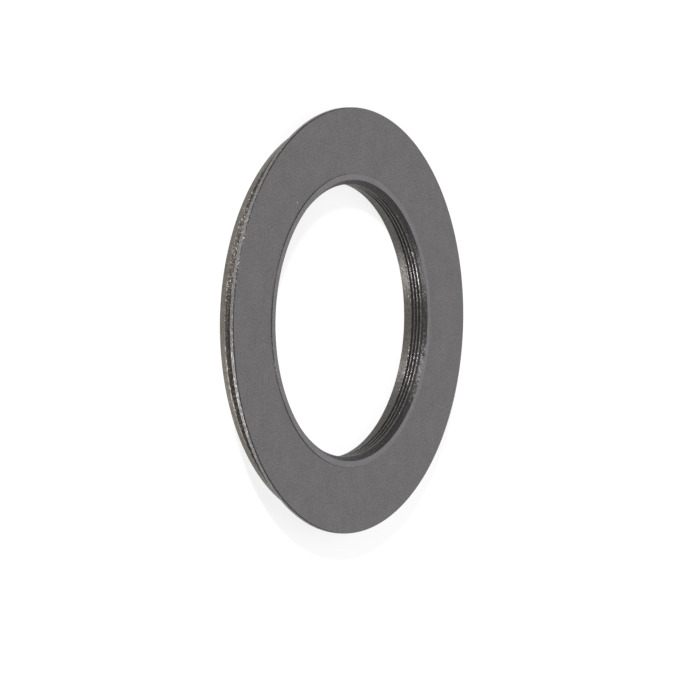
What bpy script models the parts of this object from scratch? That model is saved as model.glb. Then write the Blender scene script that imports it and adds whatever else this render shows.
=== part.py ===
"""Telescope thread adapter: one turned aluminium ring.

A wide thin flange carries a short dovetail hub behind it and a bore with a fine thread through the middle.
The ring lies on its hub, with the flange face up. The origin is the centre of the hub's rear face, +Z is the
turning axis and points out of the flange face. All sizes are in metres.
"""

from math import pi, radians, sqrt, tan

import bpy

# The bore thread, M54 x 0.75. The bore here is its minor diameter, where the thread's crests stand.
THREAD_DIAMETER = 0.054
THREAD_PITCH = 0.00075
THREAD_TRIANGLE_SHARE = 5 / 8

# The flange, seen from the front as the flat grey annulus.
FLANGE_DIAMETER = 0.0833
FLANGE_THICKNESS = 0.0008
FLANGE_CHAMFER = 0.0002

# The whole length from the flange face back to the hub's rear face.
BODY_LENGTH = 0.0051

# The dovetail hub behind the flange: a groove, a sloping clamp flank, a narrow land and a tapered nose.
GROOVE_DIAMETER = 0.0752
DOVETAIL_DIAMETER = 0.0782
DOVETAIL_SETBACK = 0.00365
DOVETAIL_FLANK_ANGLE = radians(45)
DOVETAIL_LAND = 0.0003
NOSE_DIAMETER = 0.0774
NOSE_EDGE_BREAK = 0.0001

# The raised seat round the bore on the flange face.
SEAT_DIAMETER = 0.0573
SEAT_HEIGHT = 0.00015
SEAT_EDGE_BREAK = 0.00008

# The bore's front mouth, this much wider than the thread. A 45 degree chamfer leads down to the crests.
MOUTH_ALLOWANCE = 0.001

# The plain relief behind the thread, this much wider than it. Its depth is taken from the flange face.
RELIEF_ALLOWANCE = 0.0001
RELIEF_START = 0.0038
BORE_REAR_EDGE_BREAK = 0.00005

# The turned surface is divided into this many equal steps round the axis.
STEPS_ROUND = 144
MERGE_DISTANCE = 1e-6
SHARP_EDGE_ANGLE = radians(20)

ANODISED_GREY = (0.045, 0.045, 0.046, 1.0)
ANODISED_ROUGHNESS = 0.55
ANODISED_METALLIC = 0.6


def clear_scene():
    for old in list(bpy.data.objects):
        bpy.data.objects.remove(old, do_unlink=True)


def thread_minor_diameter(diameter, pitch):
    """The bore left by a 60 degree internal thread, whose crests are cut to 5/8 of the sharp triangle."""
    triangle_height = pitch * sqrt(3) / 2
    return diameter - 2 * THREAD_TRIANGLE_SHARE * triangle_height


def outer_points():
    """From the flange face's rim down the outside to the rear face."""
    flange = FLANGE_DIAMETER / 2
    groove = GROOVE_DIAMETER / 2
    dovetail = DOVETAIL_DIAMETER / 2
    nose = NOSE_DIAMETER / 2
    flange_back = BODY_LENGTH - FLANGE_THICKNESS
    land_top = BODY_LENGTH - DOVETAIL_SETBACK
    flank_rise = (dovetail - groove) / tan(DOVETAIL_FLANK_ANGLE)
    return [
        (flange - FLANGE_CHAMFER, BODY_LENGTH),
        (flange, BODY_LENGTH - FLANGE_CHAMFER),
        (flange, flange_back),
        (groove, flange_back),
        (groove, land_top + flank_rise),
        (dovetail, land_top),
        (dovetail, land_top - DOVETAIL_LAND),
        (nose, NOSE_EDGE_BREAK),
        (nose - NOSE_EDGE_BREAK, 0.0),
    ]


def bore_points():
    """From the rear face up through the relief and the bore to the seat, and back to the flange face."""
    bore = thread_minor_diameter(THREAD_DIAMETER, THREAD_PITCH) / 2
    relief = (THREAD_DIAMETER + RELIEF_ALLOWANCE) / 2
    mouth = (THREAD_DIAMETER + MOUTH_ALLOWANCE) / 2
    seat = SEAT_DIAMETER / 2
    seat_top = BODY_LENGTH + SEAT_HEIGHT
    relief_top = BODY_LENGTH - RELIEF_START
    return [
        (relief + BORE_REAR_EDGE_BREAK, 0.0),
        (relief, BORE_REAR_EDGE_BREAK),
        (relief, relief_top),
        (bore, relief_top),
        (bore, seat_top - (mouth - bore)),
        (mouth, seat_top),
        (seat - SEAT_EDGE_BREAK, seat_top),
        (seat, seat_top - SEAT_EDGE_BREAK),
        (seat, BODY_LENGTH),
    ]


def profile_mesh(name, points):
    """A closed outline in the XZ plane, at +X of the turning axis."""
    mesh = bpy.data.meshes.new(name)
    vertices = [(radius, 0.0, height) for radius, height in points]
    edges = [(i, (i + 1) % len(points)) for i in range(len(points))]
    mesh.from_pydata(vertices, edges, [])
    mesh.update()
    return mesh


def anodised_aluminium():
    """Black anodised aluminium, bead-blasted to a dark matte grey."""
    material = bpy.data.materials.new("anodised_aluminium")
    material.use_nodes = True
    shader = material.node_tree.nodes["Principled BSDF"]
    shader.inputs["Base Color"].default_value = ANODISED_GREY
    shader.inputs["Roughness"].default_value = ANODISED_ROUGHNESS
    shader.inputs["Metallic"].default_value = ANODISED_METALLIC
    return material


def make_adapter_ring(collection):
    """The outline turned once round the Z axis."""
    mesh = profile_mesh("adapter_ring", outer_points() + bore_points())
    ring = bpy.data.objects.new("adapter_ring", mesh)
    collection.objects.link(ring)
    turn = ring.modifiers.new("turn", "SCREW")
    turn.axis = "Z"
    turn.angle = 2 * pi
    turn.steps = STEPS_ROUND
    turn.render_steps = STEPS_ROUND
    turn.use_merge_vertices = True
    turn.merge_threshold = MERGE_DISTANCE
    turn.use_smooth_shade = True
    mesh.materials.append(anodised_aluminium())
    return ring


def apply_turn(ring):
    """Makes the turned ring a plain mesh, smooth along its curves and crisp at its turned edges."""
    turned = bpy.data.meshes.new_from_object(ring.evaluated_get(bpy.context.evaluated_depsgraph_get()))
    profile = ring.data
    ring.modifiers.clear()
    ring.data = turned
    turned.name = ring.name
    bpy.data.meshes.remove(profile)
    turned.shade_smooth()
    turned.set_sharp_from_angle(angle=SHARP_EDGE_ANGLE)


def main():
    clear_scene()
    collection = bpy.data.collections.new("telescope_thread_adapter")
    bpy.context.scene.collection.children.link(collection)
    ring = make_adapter_ring(collection)
    bpy.context.view_layer.update()
    apply_turn(ring)


main()
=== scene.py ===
"""Telescope thread adapter: the finish of a turned, anodised aluminium ring and a plain studio stage.

The script is laid out as an add-on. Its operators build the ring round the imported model, which fixes the
size, and the stage that it lies on. All lengths are in metres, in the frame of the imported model: +Z is the
turning axis and points out of the flange face, and the ring lies on its hub at Z = 0.
"""

from math import ceil, cos, pi, radians, sin, sqrt, tan
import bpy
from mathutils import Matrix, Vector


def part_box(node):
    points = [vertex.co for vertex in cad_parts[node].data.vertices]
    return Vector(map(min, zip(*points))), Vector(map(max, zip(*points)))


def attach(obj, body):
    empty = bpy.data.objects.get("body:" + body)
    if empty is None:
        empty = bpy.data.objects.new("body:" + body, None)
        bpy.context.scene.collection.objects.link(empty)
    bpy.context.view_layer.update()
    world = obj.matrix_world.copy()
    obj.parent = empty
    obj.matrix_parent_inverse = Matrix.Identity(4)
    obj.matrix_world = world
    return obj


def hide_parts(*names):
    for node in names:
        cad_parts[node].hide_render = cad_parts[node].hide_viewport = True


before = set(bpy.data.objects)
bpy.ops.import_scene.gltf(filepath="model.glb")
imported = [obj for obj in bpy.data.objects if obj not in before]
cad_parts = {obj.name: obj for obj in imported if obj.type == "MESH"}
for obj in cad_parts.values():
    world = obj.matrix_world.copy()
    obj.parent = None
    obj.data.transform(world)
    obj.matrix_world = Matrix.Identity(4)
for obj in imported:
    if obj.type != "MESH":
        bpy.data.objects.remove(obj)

from types import SimpleNamespace

import bmesh
import bpy
from bpy.props import FloatProperty, FloatVectorProperty, IntProperty, PointerProperty
from mathutils import Matrix, Vector

bl_info = {
    "name": "Telescope thread adapter",
    "version": (1, 0, 0),
    "blender": (4, 5, 0),
    "location": "3D Viewport > Sidebar > Adapter",
    "description": "Builds a turned, anodised telescope thread adapter and a plain stage to show it on",
    "category": "Add Mesh",
}

MM = 0.001
RING_NODE = "adapter_ring"
CAD_LOW, CAD_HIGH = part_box(RING_NODE)

# The crests of the internal thread stand this share of its sharp triangle inside the major diameter.
THREAD_TRIANGLE_SHARE = 5 / 8
# The width of a crest as a share of the pitch.
CREST_SHARE = 1 / 5
# The thread's turns are counted from the far side of the ring, a quarter turn on from +X.
FAR_SIDE_TURN = 0.25
# Turns drawn above the first root, and turns drawn beyond the number that fits in the ring's height. With
# both, the rows reach past the two mouths.
TURNS_ABOVE = 2
SPARE_TURNS = 3

# Steps in an edge's rounding, and how far the flat beside it is held flat, in reaches of the rounding.
ARC_STEPS = 3
FLAT_MARGIN = 1.6
# The turned outline reaches this many edge radii into the bore at each mouth.
MOUTH_REACH = 3
SHARP_EDGE_ANGLE = radians(32)
HEIGHT_TOLERANCE = 1e-6
MERGE_DISTANCE = 1e-5

METALLIC = 0.9
GRAIN_ROUGHNESS = 0.6
# A quarter turn lays the stretched highlights along the axis.
STRETCH_TURN = 0.25

# The floor is a hair below the ring, so that the two don't share one plane.
FLOOR_DROP = 0.05 * MM
SENSOR_WIDTH_MM = 36.0
CLIP_START = 0.01
CLIP_END = 20

# Each light's name, its azimuth and elevation in degrees, its distance, width and height in metres, and its
# radiance.
SOFTBOXES = (
    ("far_softbox", 180, 46, 1.3, 1.6, 1.6, 0.68),
    ("right_strip", 38, 6, 1.0, 0.36, 0.28, 52.0),
    ("left_lamp", -39, 30, 1.0, 0.07, 0.10, 440.0),
)


def linear(hex_colour):
    """An sRGB hex value as the linear colour that a shader takes."""
    channels = [int(hex_colour[i : i + 2], 16) / 255 for i in (1, 3, 5)]
    return tuple(c / 12.92 if c <= 0.04045 else ((c + 0.055) / 1.055) ** 2.4 for c in channels)


class AdapterSizes(bpy.types.PropertyGroup):
    """The ring's sizes. The flange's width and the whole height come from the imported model."""

    flange_diameter: FloatProperty(
        name="Flange diameter",
        description="Across the wide flange",
        default=CAD_HIGH.x - CAD_LOW.x,
        unit="LENGTH",
    )
    height: FloatProperty(
        name="Height",
        description="From the hub's rear face to the top of the seat",
        default=CAD_HIGH.z,
        unit="LENGTH",
    )
    flange_thickness: FloatProperty(
        name="Flange thickness",
        description="From the flange face to its back",
        default=0.8 * MM,
        unit="LENGTH",
    )
    flange_chamfer: FloatProperty(
        name="Flange chamfer",
        description="Chamfer round the flange face",
        default=0.2 * MM,
        unit="LENGTH",
    )
    seat_diameter: FloatProperty(
        name="Seat diameter",
        description="Across the raised seat round the bore",
        default=57.3 * MM,
        unit="LENGTH",
    )
    seat_height: FloatProperty(
        name="Seat height",
        description="How far the seat stands proud of the flange",
        default=0.15 * MM,
        unit="LENGTH",
    )
    groove_diameter: FloatProperty(
        name="Groove diameter",
        description="Across the bottom of the dovetail groove",
        default=75.2 * MM,
        unit="LENGTH",
    )
    dovetail_diameter: FloatProperty(
        name="Dovetail diameter",
        description="Across the dovetail's land",
        default=78.2 * MM,
        unit="LENGTH",
    )
    dovetail_setback: FloatProperty(
        name="Dovetail setback",
        description="From the flange face to the dovetail's land",
        default=3.65 * MM,
        unit="LENGTH",
    )
    dovetail_land: FloatProperty(
        name="Dovetail land",
        description="Width of the dovetail's land",
        default=0.3 * MM,
        unit="LENGTH",
    )
    flank_angle: FloatProperty(
        name="Flank angle",
        description="Slope of the dovetail's flank",
        default=radians(45),
        subtype="ANGLE",
    )
    nose_diameter: FloatProperty(
        name="Nose diameter",
        description="Across the hub's rear end",
        default=77.4 * MM,
        unit="LENGTH",
    )
    thread_diameter: FloatProperty(
        name="Thread diameter",
        description="Major diameter of the bore's thread",
        default=54 * MM,
        unit="LENGTH",
    )
    thread_pitch: FloatProperty(
        name="Thread pitch",
        description="From one turn of the thread to the next",
        default=0.75 * MM,
        unit="LENGTH",
    )
    first_root: FloatProperty(
        name="First root",
        description="Depth of the first root below the flange face, at the ring's far side",
        default=0.57 * MM,
        unit="LENGTH",
    )
    root_clearance: FloatProperty(
        name="Root clearance",
        description="How much deeper than its nominal depth the thread is cut",
        default=0.1 * MM,
        unit="LENGTH",
    )
    thread_end: FloatProperty(
        name="Thread end",
        description="Depth below the flange face of the root where the thread has run out",
        default=3.58 * MM,
        unit="LENGTH",
    )
    run_out: FloatProperty(
        name="Run-out",
        description="Rise of the helix over which its groove fades away",
        default=0.05 * MM,
        unit="LENGTH",
    )
    mouth_diameter: FloatProperty(
        name="Mouth diameter",
        description="Across the bore's chamfered front mouth",
        default=55 * MM,
        unit="LENGTH",
    )
    mouth_angle: FloatProperty(
        name="Mouth angle",
        description="Slope of the front mouth's chamfer to the axis",
        default=radians(43),
        subtype="ANGLE",
    )
    relief_diameter: FloatProperty(
        name="Relief diameter",
        description="Across the plain stretch of the bore behind the thread",
        default=54.0 * MM,
        unit="LENGTH",
    )
    relief_start: FloatProperty(
        name="Relief start",
        description="Depth below the flange face where the bore widens to the relief",
        default=3.3 * MM,
        unit="LENGTH",
    )
    rear_edge_break: FloatProperty(
        name="Rear edge break",
        description="Chamfer of the bore's rear edge",
        default=0.03 * MM,
        unit="LENGTH",
    )
    edge_radius: FloatProperty(
        name="Edge radius",
        description="Rounding that blasting leaves on a turned edge",
        default=0.035 * MM,
        unit="LENGTH",
    )
    crest_radius: FloatProperty(
        name="Crest radius",
        description="Rounding of the thread's edges",
        default=0.07 * MM,
        unit="LENGTH",
    )
    blend: FloatProperty(
        name="Blend",
        description="Reach of the rounding where two cuts in the bore meet",
        default=0.2 * MM,
        unit="LENGTH",
    )
    burnished_share: FloatProperty(
        name="Burnished share",
        description="Share of the thread's depth that is burnished",
        default=0.25,
    )
    row_spacing: FloatProperty(
        name="Row spacing",
        description="Longest step along the thread's outline",
        default=0.12 * MM,
        unit="LENGTH",
    )
    columns: IntProperty(name="Columns", description="Steps round the axis", default=360, min=48)


class AdapterFinish(bpy.types.PropertyGroup):
    """The colours of the anodised aluminium. The groove's, the thread's, the mouth's and the flange
    chamfer's colours are darkened as painted shade, and the specks' colour also paints glints.
    """

    face_colour: FloatVectorProperty(
        name="Face",
        description="Bead-blasted flange face and rear face",
        default=linear("#696768"),
        subtype="COLOR",
        size=3,
    )
    seat_colour: FloatVectorProperty(
        name="Seat",
        description="Raised seat round the bore",
        default=linear("#737173"),
        subtype="COLOR",
        size=3,
    )
    rim_colour: FloatVectorProperty(
        name="Rim",
        description="Turned edge of the flange",
        default=linear("#757372"),
        subtype="COLOR",
        size=3,
    )
    hub_colour: FloatVectorProperty(
        name="Hub",
        description="Turned land and nose of the hub",
        default=linear("#69655e"),
        subtype="COLOR",
        size=3,
    )
    # Darker than the other turned metal: partly the rough-turned metal's own colour, partly painted shade
    # under the flange.
    groove_shade_colour: FloatVectorProperty(
        name="Groove",
        description="Rough-turned dovetail groove",
        default=linear("#4f4b48"),
        subtype="COLOR",
        size=3,
    )
    bore_colour: FloatVectorProperty(
        name="Bore",
        description="Plain end of the bore",
        default=linear("#605d5a"),
        subtype="COLOR",
        size=3,
    )
    crest_colour: FloatVectorProperty(
        name="Crests",
        description="Burnished crests of the thread",
        default=linear("#646260"),
        subtype="COLOR",
        size=3,
    )
    # Darker than the crests as painted shade in the thread's roots.
    thread_shade_colour: FloatVectorProperty(
        name="Thread",
        description="Flanks and roots of the thread",
        default=linear("#4e4c4b"),
        subtype="COLOR",
        size=3,
    )
    # Darkened as painted shade: the mouth's chamfer mirrors the dim room.
    mouth_shade_colour: FloatVectorProperty(
        name="Mouth",
        description="Chamfer at the bore's front",
        default=linear("#494748"),
        subtype="COLOR",
        size=3,
    )
    # Darkened as painted shade: the flange's chamfer and the seat's step mirror the dim room.
    cut_shade_colour: FloatVectorProperty(
        name="Cut edges",
        description="Chamfer round the flange",
        default=linear("#504e4f"),
        subtype="COLOR",
        size=3,
    )
    # This light colour serves dust and nicks, and also paints the glints on the crests and along the edges.
    speck_and_glint_colour: FloatVectorProperty(
        name="Specks",
        description="Dust and bright metal at nicks",
        default=linear("#b4b4b0"),
        subtype="COLOR",
        size=3,
    )


class AdapterStage(bpy.types.PropertyGroup):
    """The camera and the lights."""

    camera_elevation: FloatProperty(
        name="Camera elevation",
        description="Height of the view above the flange's plane",
        default=radians(32.68),
        subtype="ANGLE",
    )
    camera_roll: FloatProperty(
        name="Camera roll",
        description="Turn about the view, which sets the ring upright in the picture",
        default=radians(91.52),
        subtype="ANGLE",
    )
    picture_side: FloatProperty(
        name="Picture side",
        description="Side of the square picture in pixels",
        default=700.0,
    )
    ring_pixels: FloatProperty(
        name="Ring in pixels",
        description="Half the flange's length in the picture, in pixels",
        default=213.15,
    )
    distance_pixels: FloatProperty(
        name="Distance in pixels",
        description="Camera distance in the same pixels",
        default=5065.0,
    )
    centre_x: FloatProperty(
        name="Centre X",
        description="Pixel column of the flange's centre",
        default=352.7,
    )
    centre_y: FloatProperty(
        name="Centre Y",
        description="Pixel row of the flange's centre",
        default=320.6,
    )
    floor_colour: FloatVectorProperty(
        name="Floor",
        description="Matt floor and backdrop",
        default=linear("#8f8f8f"),
        subtype="COLOR",
        size=3,
    )
    floor_glow: FloatProperty(
        name="Floor glow",
        description="White that the floor shows to the camera and in reflections",
        default=0.76,
    )
    world_level: FloatProperty(name="World level", description="Dim light of the room", default=0.45)


def add_node(tree, kind, inputs=None, **settings):
    """A new shader node with its settings.

    Each input is a number or a colour, or the node or socket that is linked to it.
    """
    node = tree.nodes.new("ShaderNode" + kind)
    for name, value in settings.items():
        setattr(node, name, value)
    for socket, value in (inputs or {}).items():
        if isinstance(value, bpy.types.Node):
            value = value.outputs[0]
        if isinstance(value, bpy.types.NodeSocket):
            tree.links.new(value, node.inputs[socket])
        else:
            node.inputs[socket].default_value = value
    return node


def new_material(name):
    """An empty node material and its tree."""
    material = bpy.data.materials.new(name)
    material.use_nodes = True
    material.node_tree.nodes.clear()
    return material, material.node_tree


def millimetres(tree):
    """The ring's own coordinates in millimetres, so that a pattern's scale is one over its real size."""
    place = add_node(tree, "TexCoord").outputs["Object"]
    return add_node(tree, "VectorMath", {0: place, 1: (1 / MM,) * 3}, operation="MULTIPLY")


def radius_and_height(tree, place):
    """The distance from the turning axis and the height, as the first two coordinates."""
    split = add_node(tree, "SeparateXYZ", {0: place})
    flat = add_node(tree, "CombineXYZ", {0: split.outputs[0], 1: split.outputs[1]})
    radius = add_node(tree, "VectorMath", {0: flat}, operation="LENGTH").outputs["Value"]
    return add_node(tree, "CombineXYZ", {0: radius, 1: split.outputs[2]})


def grain(tree, place, size_mm, low, high, detail=2.0):
    """Soft random grain of a real size, from low to high."""
    pattern = {"Vector": place, "Scale": 1 / size_mm, "Detail": detail, "Roughness": GRAIN_ROUGHNESS}
    noise = add_node(tree, "TexNoise", pattern)
    limits = {"Value": noise, "From Min": 0.3, "From Max": 0.7, "To Min": low, "To Max": high}
    return add_node(tree, "MapRange", limits)


def specks(tree, place, cell_mm, size_mm, share):
    """1 on small round specks, each in its own cell, in the given share of the cells."""
    cells = add_node(tree, "TexVoronoi", {"Vector": place, "Scale": 1 / cell_mm})
    reach = size_mm / 2 / cell_mm
    dot = add_node(tree, "MapRange", {"Value": cells, "From Min": 1.2 * reach, "From Max": 0.6 * reach})
    chance = add_node(tree, "SeparateColor", {0: cells.outputs["Color"]})
    chosen = add_node(tree, "Math", {0: chance, 1: share}, operation="LESS_THAN")
    return add_node(tree, "Math", {0: dot, 1: chosen}, operation="MULTIPLY")


def nicks_and_glints(tree, place, edges, reach_mm, share):
    """1 on small bright flecks along the turned edges, which are circles given as (radius, height). The
    flecks are partly nicks of bare metal and partly painted glints where the edges catch the light.
    """
    here = radius_and_height(tree, place)
    nearest = None
    for radius, height in edges:
        corner = (radius / MM, height / MM, 0.0)
        away = add_node(tree, "VectorMath", {0: here, 1: corner}, operation="DISTANCE").outputs["Value"]
        nearest = add_node(tree, "Math", {0: nearest, 1: away}, operation="MINIMUM") if nearest else away
    close = add_node(tree, "MapRange", {"Value": nearest, "From Min": reach_mm, "From Max": 0.6 * reach_mm})
    glinting_chips = specks(tree, place, cell_mm=0.34, size_mm=0.3, share=share)
    return add_node(tree, "Math", {0: close, 1: glinting_chips}, operation="MULTIPLY")


def leaning_facets(tree, place, size_mm, lean):
    """A normal that leans its own way on each small facet of the metal, by up to about lean radians."""
    facets = add_node(tree, "TexVoronoi", {"Vector": place, "Scale": 1 / size_mm}).outputs["Color"]
    way = add_node(tree, "VectorMath", {0: facets, 1: (0.5,) * 3}, operation="SUBTRACT")
    surface = add_node(tree, "NewGeometry").outputs["Normal"]
    tilt = (2 * lean,) * 3
    leaning = add_node(tree, "VectorMath", {0: way, 1: tilt, 2: surface}, operation="MULTIPLY_ADD")
    return add_node(tree, "VectorMath", {0: leaning}, operation="NORMALIZE")


def toned(tree, colour, tone, bright_colour, bright):
    """colour times tone, with bright_colour where bright is 1."""
    shaded = add_node(tree, "VectorMath", {0: colour, "Scale": tone}, operation="SCALE")
    inputs = {"Factor": bright, 6: shaded, 7: (*bright_colour, 1)}
    return add_node(tree, "Mix", inputs, data_type="RGBA").outputs[2]


def metal(tree, colour, roughness, normal, drawn_out=0.0):
    """The anodised metal's shader.

    drawn_out is how far its highlights are drawn out along the axis, as tool lines round the axis do.
    """
    inputs = {"Base Color": colour, "Metallic": METALLIC, "Roughness": roughness, "Normal": normal}
    if drawn_out:
        inputs["Anisotropic"] = drawn_out
        inputs["Anisotropic Rotation"] = STRETCH_TURN
        inputs["Tangent"] = add_node(tree, "Tangent", direction_type="RADIAL", axis="Z")
    shader = add_node(tree, "BsdfPrincipled", inputs)
    add_node(tree, "OutputMaterial", {"Surface": shader})


def blasted_anodised(name, colour, finish):
    """Bead-blasted black anodised aluminium: an even dark grey, softly grained, with a few light specks."""
    material, tree = new_material(name)
    place = millimetres(tree)
    # Blasting leaves dents of about 0.05 mm. They are drawn at 0.22 mm, or they would not show.
    dents = grain(tree, place, size_mm=0.22, low=0.0, high=1.0, detail=1.0)
    fine = grain(tree, place, size_mm=0.22, low=0.66, high=1.34, detail=1.0)
    broad = grain(tree, place, size_mm=4.0, low=0.95, high=1.05)
    tone = add_node(tree, "Math", {0: fine, 1: broad}, operation="MULTIPLY")
    dust = specks(tree, place, cell_mm=3.2, size_mm=0.35, share=0.06)
    coloured = toned(tree, colour, tone, finish.speck_and_glint_colour, dust)
    bump = add_node(tree, "Bump", {"Height": dents, "Distance": 0.012 * MM, "Strength": 0.6})
    gloss = grain(tree, place, size_mm=0.22, low=0.42, high=0.5, detail=1.0)
    metal(tree, coloured, gloss, bump)
    return material


def turned_anodised(name, colour, finish, edges, lean, drawn_out):
    """Turned and anodised aluminium: tool lines round the axis draw its highlights out along the axis."""
    material, tree = new_material(name)
    place = millimetres(tree)
    # The tool's feed is about 0.05 mm a turn. Its lines are drawn every 0.2 mm, or they would not show.
    lines = grain(tree, radius_and_height(tree, place), size_mm=0.2, low=0.92, high=1.08)
    blotches = grain(tree, place, size_mm=0.35, low=0.65, high=1.35)
    tone = add_node(tree, "Math", {0: lines, 1: blotches}, operation="MULTIPLY")
    # Bright flecks along the sharp edges: nicks of bare metal, and painted glints where the edges catch the
    # light.
    glinting_chips = nicks_and_glints(tree, place, edges, reach_mm=0.12, share=0.35)
    dust = specks(tree, place, cell_mm=0.9, size_mm=0.26, share=0.10)
    bright = add_node(tree, "Math", {0: glinting_chips, 1: dust}, operation="MAXIMUM")
    coloured = toned(tree, colour, tone, finish.speck_and_glint_colour, bright)
    gloss = grain(tree, place, size_mm=0.35, low=0.38, high=0.48)
    metal(tree, coloured, gloss, leaning_facets(tree, place, 0.35, lean), drawn_out)
    return material


def crest_anodised(name, colour, finish):
    """The thread's crests, burnished by the parts screwed in: smoother, with small bright flecks painted on
    as glints.
    """
    material, tree = new_material(name)
    place = millimetres(tree)
    fine = grain(tree, place, size_mm=0.35, low=0.6, high=1.4)
    broad = grain(tree, place, size_mm=5.0, low=0.85, high=1.15)
    tone = add_node(tree, "Math", {0: fine, 1: broad}, operation="MULTIPLY")
    # Painted glints: small bright flecks dotted along the crests.
    painted_glints = specks(tree, place, cell_mm=0.5, size_mm=0.22, share=0.15)
    coloured = toned(tree, colour, tone, finish.speck_and_glint_colour, painted_glints)
    gloss = grain(tree, place, size_mm=0.35, low=0.28, high=0.38)
    metal(tree, coloured, gloss, leaning_facets(tree, place, size_mm=0.3, lean=0.1), drawn_out=0.85)
    return material


def cut_anodised(name, colour, finish, roughness, lean, drawn_out=0.0):
    """Chamfers and thread flanks, cut and then anodised. Their colours are darker than the walls beside them
    as painted shade: the shade in the thread's roots, and the dim room that the chamfers mirror.
    """
    material, tree = new_material(name)
    place = millimetres(tree)
    tone = grain(tree, place, size_mm=0.35, low=0.7, high=1.3)
    dust = specks(tree, place, cell_mm=0.7, size_mm=0.2, share=0.10)
    coloured = toned(tree, colour, tone, finish.speck_and_glint_colour, dust)
    gloss = grain(tree, place, size_mm=0.35, low=roughness, high=roughness + 0.1)
    metal(tree, coloured, gloss, leaning_facets(tree, place, 0.25, lean), drawn_out)
    return material


def rough_turned_anodised(name, colour, finish, edges):
    """Rough-turned and anodised aluminium: coarse torn metal that glitters where the light catches it. Its
    dark colour is partly the rough metal's own and partly painted shade under the flange.
    """
    material, tree = new_material(name)
    place = millimetres(tree)
    # Bright flecks along the dovetail's edges: nicks of bare metal, and painted glints where the edges catch
    # the light.
    glinting_chips = nicks_and_glints(tree, place, edges, reach_mm=0.08, share=0.3)
    tone = grain(tree, place, size_mm=0.22, low=0.4, high=1.6)
    coloured = toned(tree, colour, tone, finish.speck_and_glint_colour, glinting_chips)
    gloss = grain(tree, place, size_mm=0.25, low=0.4, high=0.5)
    metal(tree, coloured, gloss, leaning_facets(tree, place, size_mm=0.22, lean=0.14))
    return material


FACE, SEAT, RIM, GROOVE, HUB, BORE, CREST, THREAD, MOUTH, CUT = range(10)


def ring_materials(sizes, finish):
    """The ring's materials, in the order that its faces count them."""
    edges = exposed_edges(sizes)
    face = blasted_anodised("bead_blasted_anodised_face", finish.face_colour, finish)
    seat = blasted_anodised("bead_blasted_anodised_seat", finish.seat_colour, finish)
    rim = turned_anodised("turned_anodised_rim", finish.rim_colour, finish, edges, lean=0.16, drawn_out=0.6)
    groove = rough_turned_anodised("rough_turned_anodised_groove", finish.groove_shade_colour, finish, edges)
    hub = turned_anodised("turned_anodised_hub", finish.hub_colour, finish, edges, lean=0.1, drawn_out=0.6)
    bore = turned_anodised(
        "turned_anodised_bore", finish.bore_colour, finish, edges, lean=0.03, drawn_out=0.85
    )
    crest = crest_anodised("burnished_anodised_crests", finish.crest_colour, finish)
    thread = cut_anodised("cut_anodised_thread", finish.thread_shade_colour, finish, roughness=0.35, lean=0.12)
    mouth = cut_anodised(
        "cut_anodised_mouth", finish.mouth_shade_colour, finish, roughness=0.4, lean=0.1, drawn_out=0.8
    )
    cut = cut_anodised("cut_anodised_chamfer", finish.cut_shade_colour, finish, roughness=0.28, lean=0.1)
    return [face, seat, rim, groove, hub, bore, crest, thread, mouth, cut]


def minor_radius(sizes):
    """The radius of the bore at the crests of its 60 degree thread."""
    return sizes.thread_diameter / 2 - THREAD_TRIANGLE_SHARE * sizes.thread_pitch * sqrt(3) / 2


def ring_levels(sizes):
    """The radii and heights that the outline and its edges share."""
    bore = minor_radius(sizes)
    dovetail = sizes.dovetail_diameter / 2
    groove = sizes.groove_diameter / 2
    face = sizes.height - sizes.seat_height
    land = face - sizes.dovetail_setback
    return SimpleNamespace(
        bore=bore,
        mouth=sizes.mouth_diameter / 2,
        relief=sizes.relief_diameter / 2,
        seat=sizes.seat_diameter / 2,
        flange=sizes.flange_diameter / 2,
        groove=groove,
        dovetail=dovetail,
        nose=sizes.nose_diameter / 2,
        top=sizes.height,
        face=face,
        back=face - sizes.flange_thickness,
        flank_top=land + (dovetail - groove) / tan(sizes.flank_angle),
        land=land,
    )


def turned_corners(sizes):
    """The outline's corners from just inside the bore's front mouth, over the rim, to just inside its rear.

    Each is (radius, height, finish of the surface that follows it).
    """
    at = ring_levels(sizes)
    return [
        (mouth_radius(sizes, bore_front(sizes)), bore_front(sizes), MOUTH),
        (at.mouth, at.top, SEAT),
        (at.seat, at.top, CUT),
        (at.seat, at.face, FACE),
        (at.flange - sizes.flange_chamfer, at.face, CUT),
        (at.flange, at.face - sizes.flange_chamfer, RIM),
        (at.flange, at.back, GROOVE),
        (at.groove, at.back, GROOVE),
        (at.groove, at.flank_top, GROOVE),
        (at.dovetail, at.land, HUB),
        (at.dovetail, at.land - sizes.dovetail_land, HUB),
        (at.nose, 0.0, FACE),
        (at.relief + sizes.rear_edge_break, 0.0, CUT),
        (at.relief, sizes.rear_edge_break, BORE),
        (at.relief, bore_rear(sizes), BORE),
    ]


def exposed_edges(sizes):
    """The sharp outer edges, which handling has nicked, and along which glints are painted."""
    at = ring_levels(sizes)
    return [
        (at.flange, at.face - sizes.flange_chamfer),
        (at.flange, at.back),
        (at.dovetail, at.land),
    ]


def bore_front(sizes):
    """The height, just below the front mouth's edge, where the bore's wall takes over from the outline."""
    return sizes.height - MOUTH_REACH * sizes.edge_radius


def bore_rear(sizes):
    """The same, just above the rear mouth's edge."""
    return sizes.rear_edge_break + MOUTH_REACH * sizes.edge_radius


def mouth_radius(sizes, height):
    """The radius of the front mouth's chamfer at a height."""
    at = ring_levels(sizes)
    return at.mouth - (at.top - height) * tan(sizes.mouth_angle)


def relief_radius(sizes, height):
    """The radius of the relief at a height. Its shoulder slopes like a flank of the thread."""
    at = ring_levels(sizes)
    past_start = at.face - sizes.relief_start - height
    return min(at.relief, at.bore + past_start * sqrt(3))


def blended(first, second, reach):
    """The larger of two radii, with the edge where the two cuts meet rounded off."""
    overlap = max(0.0, reach - abs(first - second))
    return max(first, second) + overlap * overlap / (4 * reach)


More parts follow.
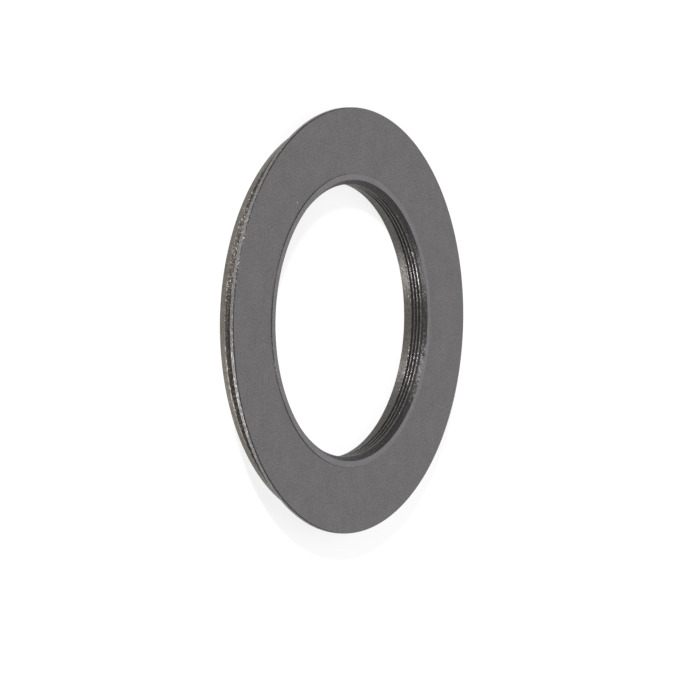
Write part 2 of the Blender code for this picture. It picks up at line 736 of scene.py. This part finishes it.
def rounded_outline(corners, radius, arc_steps, margin, longest_share=0.3):
    """The corners with their points turned into small arcs.

    Each corner is (x, y, finish of what follows it), and so is each point of the result. A margin above 1
    adds a point on each side of an arc, at that many times its reach, which keeps the flats beside it flat.
    An arc takes up the longest share of its straights at most.
    """
    points = [corners[0]]
    for before, here, after in zip(corners, corners[1:], corners[2:]):
        corner = Vector(here[:2])
        back_way = Vector(before[:2]) - corner
        on_way = Vector(after[:2]) - corner
        straights = (back_way.length * longest_share, on_way.length * longest_share)
        reach = min(radius / tan(back_way.angle(on_way) / 2), *straights)
        start = corner + back_way.normalized() * reach
        end = corner + on_way.normalized() * reach
        if margin > 1:
            points.append((*(corner + (start - corner) * margin), before[2]))
        for step in range(arc_steps + 1):
            share = step / arc_steps
            point = start.lerp(corner, share).lerp(corner.lerp(end, share), share)
            points.append((*point, here[2] if share >= 0.5 else before[2]))
        if margin > 1:
            points.append((*(corner + (end - corner) * margin), here[2]))
    points.append(corners[-1])
    return points


def divided(points, longest):
    """The points with more between them, so that no two are further apart than longest."""
    result = []
    for here, there in zip(points, points[1:]):
        start, end = Vector(here[:2]), Vector(there[:2])
        parts = max(1, ceil((end - start).length / longest))
        result += [(*start.lerp(end, i / parts), here[2]) for i in range(parts)]
    return result + [points[-1]]


def thread_rows(sizes):
    """One pitch of the thread, from the middle of a crest to the next.

    Each row is (depth of the groove, drop along the axis, finish of the surface that follows it). The flanks
    meet at 60 degrees.
    """
    pitch = sizes.thread_pitch
    depth = sizes.thread_diameter / 2 - minor_radius(sizes) + sizes.root_clearance
    crest_edge = CREST_SHARE / 2 * pitch
    root_edge = crest_edge + depth / sqrt(3)
    corners = [
        (0.0, 0.0, CREST),
        (0.0, crest_edge, THREAD),
        (depth, root_edge, THREAD),
        (depth, pitch - root_edge, THREAD),
        (0.0, pitch - crest_edge, CREST),
        (0.0, pitch, CREST),
    ]
    rounded = rounded_outline(corners, sizes.crest_radius, ARC_STEPS, margin=0, longest_share=0.5)
    rows = divided(rounded, sizes.row_spacing)[:-1]
    # Rows deeper than this take the thread's darker colour, which paints the shade in the roots.
    burnished = sizes.burnished_share * depth
    return [(groove, drop, CREST if groove < burnished else finish) for groove, drop, finish in rows]


def bore_column(sizes, angle, rows):
    """The bore's wall at one angle, from the front mouth to the rear, in rows that follow the helix.

    Each row is (radius, height, finish of the surface that follows it).
    """
    at = ring_levels(sizes)
    pitch = sizes.thread_pitch
    depth = max(groove for groove, drop, finish in rows)
    # The rows start in the middle of a crest, half a pitch above a root.
    turns_up = TURNS_ABOVE + 0.5 + angle / (2 * pi) - FAR_SIDE_TURN
    start = at.face - sizes.first_root + turns_up * pitch
    column = []
    for turn in range(ceil(at.top / pitch) + SPARE_TURNS):
        # Where the thread ends the tool draws back, which leaves the groove ever shallower and narrower.
        root = at.face - (start - (turn + 0.5) * pitch)
        left = (sizes.thread_end - root) / sizes.run_out
        drawn_back = depth * (1 - min(1.0, max(0.0, left)))
        for groove, drop, finish in rows:
            height = start - turn * pitch - drop
            thread = at.bore + max(0.0, groove - drawn_back)
            relief = relief_radius(sizes, height)
            mouth = mouth_radius(sizes, height)
            if mouth >= max(thread, relief):
                finish = MOUTH
            elif relief >= thread:
                finish = BORE
            wall = blended(max(thread, relief), mouth, sizes.blend)
            column.append((wall, height, finish))
    return column


def make_bore(mesh, sizes, front, rear):
    """The threaded bore, joined to the rings of vertices at its front and rear mouths."""
    columns = sizes.columns
    rows = thread_rows(sizes)
    wall = []
    for i in range(columns):
        angle = 2 * pi * i / columns
        column = []
        finishes = []
        for radius, height, finish in bore_column(sizes, angle, rows):
            finishes.append(finish)
            if height >= bore_front(sizes) - HEIGHT_TOLERANCE:
                column.append(front[i])
            elif height <= bore_rear(sizes) + HEIGHT_TOLERANCE:
                column.append(rear[i])
            else:
                column.append(mesh.verts.new((radius * cos(angle), radius * sin(angle), height)))
        wall.append((column, finishes))
    for i in range(columns):
        here, finishes = wall[i]
        # After a whole turn the rows meet those of the next turn up.
        shift = len(rows) if i == columns - 1 else 0
        following = (i + 1) % columns
        there = [front[following]] * shift + wall[following][0]
        for row in range(len(here) - 1):
            add_face(mesh, (here[row], there[row], there[row + 1], here[row + 1]), finishes[row])


def add_face(mesh, corners, finish):
    """A face on the corners that differ, if at least three do."""
    different = []
    for corner in corners:
        if corner not in different:
            different.append(corner)
    if len(different) < 3:
        return
    face = mesh.faces.new(different)
    face.material_index = finish
    face.smooth = True


def make_outside(mesh, sizes):
    """The turned surfaces outside the bore. Returns the rings of vertices at its front and rear mouths."""
    outline = rounded_outline(turned_corners(sizes), sizes.edge_radius, ARC_STEPS, FLAT_MARGIN)
    columns = sizes.columns
    rings = []
    for radius, height, finish in outline:
        ring = []
        for i in range(columns):
            angle = 2 * pi * i / columns
            ring.append(mesh.verts.new((radius * cos(angle), radius * sin(angle), height)))
        rings.append(ring)
    for ring, following, (radius, height, finish) in zip(rings, rings[1:], outline):
        for i in range(columns):
            j = (i + 1) % columns
            add_face(mesh, (ring[i], following[i], following[j], ring[j]), finish)
    return rings[0], rings[-1]


class ADAPTER_OT_make_ring(bpy.types.Operator):
    """Turn the adapter ring, with its helical bore thread"""

    bl_idname = "adapter.make_ring"
    bl_label = "Make the adapter ring"

    def execute(self, context):
        sizes = context.scene.adapter_sizes
        mesh = bmesh.new()
        front, rear = make_outside(mesh, sizes)
        make_bore(mesh, sizes, front, rear)
        bmesh.ops.recalc_face_normals(mesh, faces=mesh.faces)
        data = bpy.data.meshes.new("turned_ring")
        mesh.to_mesh(data)
        mesh.free()
        data.set_sharp_from_angle(angle=SHARP_EDGE_ANGLE)
        ring = bpy.data.objects.new("turned_ring", data)
        context.scene.collection.objects.link(ring)
        for material in ring_materials(sizes, context.scene.adapter_finish):
            data.materials.append(material)
        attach(ring, "root")
        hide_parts(RING_NODE)
        return {"FINISHED"}


def floor_material(stage):
    """Matt paper that glows white to the camera and in reflections, and takes the ring's shadow."""
    material, tree = new_material("matt_studio_paper")
    rays = add_node(tree, "LightPath").outputs
    seen = add_node(tree, "Math", {0: rays["Is Camera Ray"], 1: rays["Is Glossy Ray"]}, operation="MAXIMUM")
    seen = add_node(tree, "Math", {0: seen, 1: rays["Is Transmission Ray"]}, operation="MAXIMUM")
    strength = add_node(tree, "Math", {0: seen, 1: stage.floor_glow}, operation="MULTIPLY")
    paper = add_node(tree, "BsdfDiffuse", {"Color": (*stage.floor_colour, 1)})
    glow = add_node(tree, "Emission", {"Color": (1, 1, 1, 1), "Strength": strength})
    both = add_node(tree, "AddShader", {0: paper, 1: glow})
    add_node(tree, "OutputMaterial", {"Surface": both})
    return material


def make_backdrop(stage):
    """A round floor that curves up into a low wall."""
    inner_radius = 0.3
    flat_radius = 1.7
    bend = 0.3
    wall_height = 0.35
    bend_steps = 10
    columns = 96
    outline = [(0.0, 0.0), (inner_radius, 0.0), (flat_radius, 0.0)]
    for step in range(1, bend_steps + 1):
        turn = pi / 2 * step / bend_steps
        outline.append((flat_radius + bend * sin(turn), bend * (1 - cos(turn))))
    outline.append((flat_radius + bend, wall_height))
    mesh = bmesh.new()
    profile = [mesh.verts.new((radius, 0, height)) for radius, height in outline]
    edges = [mesh.edges.new(pair) for pair in zip(profile, profile[1:])]
    round_axis = {"axis": (0, 0, 1), "cent": (0, 0, 0), "angle": 2 * pi, "steps": columns, "use_merge": True}
    bmesh.ops.spin(mesh, geom=profile + edges, **round_axis)
    bmesh.ops.remove_doubles(mesh, verts=mesh.verts, dist=MERGE_DISTANCE)
    bmesh.ops.recalc_face_normals(mesh, faces=mesh.faces)
    data = bpy.data.meshes.new("studio_floor")
    mesh.to_mesh(data)
    mesh.free()
    data.shade_smooth()
    data.materials.append(floor_material(stage))
    floor = bpy.data.objects.new("studio_floor", data)
    bpy.context.scene.collection.objects.link(floor)
    floor.location.z = -FLOOR_DROP


def towards(azimuth, elevation):
    """A unit vector to a place round the ring. Azimuth 0 is the camera's side, at -Y, and 90 is +X."""
    return Vector((sin(azimuth) * cos(elevation), -cos(azimuth) * cos(elevation), sin(elevation)))


def add_softbox(name, azimuth, elevation, distance, width, height, radiance):
    """A rectangular soft light that faces the ring. Radiance is how bright it looks, where 1 is white."""
    light = bpy.data.lights.new(name, "AREA")
    light.shape = "RECTANGLE"
    light.size = width
    light.size_y = height
    light.energy = radiance * pi * width * height
    box = bpy.data.objects.new(name, light)
    bpy.context.scene.collection.objects.link(box)
    way = towards(radians(azimuth), radians(elevation))
    box.location = way * distance
    box.rotation_euler = way.to_track_quat("Z", "Y").to_euler()
    box.visible_camera = False


def make_camera(stage, sizes):
    """The photograph's camera: it looks down on the flange at a slant, with the ring upright in view."""
    unit = sizes.flange_diameter / 2 / stage.ring_pixels
    middle = stage.picture_side / 2
    data = bpy.data.cameras.new("camera")
    data.sensor_width = SENSOR_WIDTH_MM
    data.lens = SENSOR_WIDTH_MM * stage.distance_pixels / stage.picture_side
    camera = bpy.data.objects.new("camera", data)
    bpy.context.scene.collection.objects.link(camera)
    back = towards(0.0, stage.camera_elevation)
    turn = back.to_track_quat("Z", "Y").to_matrix() @ Matrix.Rotation(stage.camera_roll, 3, "Z")
    right, up = turn.col[0], turn.col[1]
    centre = Vector((0, 0, sizes.height - sizes.seat_height))
    aside = (stage.centre_x - middle) * unit
    above = (middle - stage.centre_y) * unit
    camera.location = centre - right * aside - up * above + back * stage.distance_pixels * unit
    camera.rotation_euler = turn.to_euler()
    data.clip_start = CLIP_START
    data.clip_end = CLIP_END
    bpy.context.scene.camera = camera


def make_world(stage):
    """A dim even room."""
    world = bpy.data.worlds.new("dim_room")
    world.use_nodes = True
    world.node_tree.nodes.clear()
    room = add_node(world.node_tree, "Background", {"Color": (1, 1, 1, 1), "Strength": stage.world_level})
    add_node(world.node_tree, "OutputWorld", {"Surface": room})
    bpy.context.scene.world = world


class ADAPTER_OT_make_stage(bpy.types.Operator):
    """Set up the floor, the soft lights and the camera"""

    bl_idname = "adapter.make_stage"
    bl_label = "Make the stage"

    def execute(self, context):
        stage = context.scene.adapter_stage
        context.scene.view_settings.view_transform = "Standard"
        make_backdrop(stage)
        make_world(stage)
        for box in SOFTBOXES:
            add_softbox(*box)
        make_camera(stage, context.scene.adapter_sizes)
        return {"FINISHED"}


class ADAPTER_PT_panel(bpy.types.Panel):
    """The adapter's operators and values"""

    bl_idname = "ADAPTER_PT_panel"
    bl_label = "Thread adapter"
    bl_space_type = "VIEW_3D"
    bl_region_type = "UI"
    bl_category = "Adapter"

    def draw(self, context):
        layout = self.layout
        for operator in (ADAPTER_OT_make_ring, ADAPTER_OT_make_stage):
            layout.operator(operator.bl_idname)
        scene = context.scene
        for group in (scene.adapter_sizes, scene.adapter_finish, scene.adapter_stage):
            box = layout.box()
            for name in group.__annotations__:
                box.prop(group, name)


CLASSES = (
    AdapterSizes,
    AdapterFinish,
    AdapterStage,
    ADAPTER_OT_make_ring,
    ADAPTER_OT_make_stage,
    ADAPTER_PT_panel,
)


def register():
    for item in CLASSES:
        bpy.utils.register_class(item)
    bpy.types.Scene.adapter_sizes = PointerProperty(type=AdapterSizes)
    bpy.types.Scene.adapter_finish = PointerProperty(type=AdapterFinish)
    bpy.types.Scene.adapter_stage = PointerProperty(type=AdapterStage)


def unregister():
    del bpy.types.Scene.adapter_stage
    del bpy.types.Scene.adapter_finish
    del bpy.types.Scene.adapter_sizes
    for item in reversed(CLASSES):
        bpy.utils.unregister_class(item)


def main():
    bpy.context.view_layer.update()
    register()
    bpy.ops.adapter.make_ring()
    bpy.ops.adapter.make_stage()


if __name__ == "__main__":
    main()
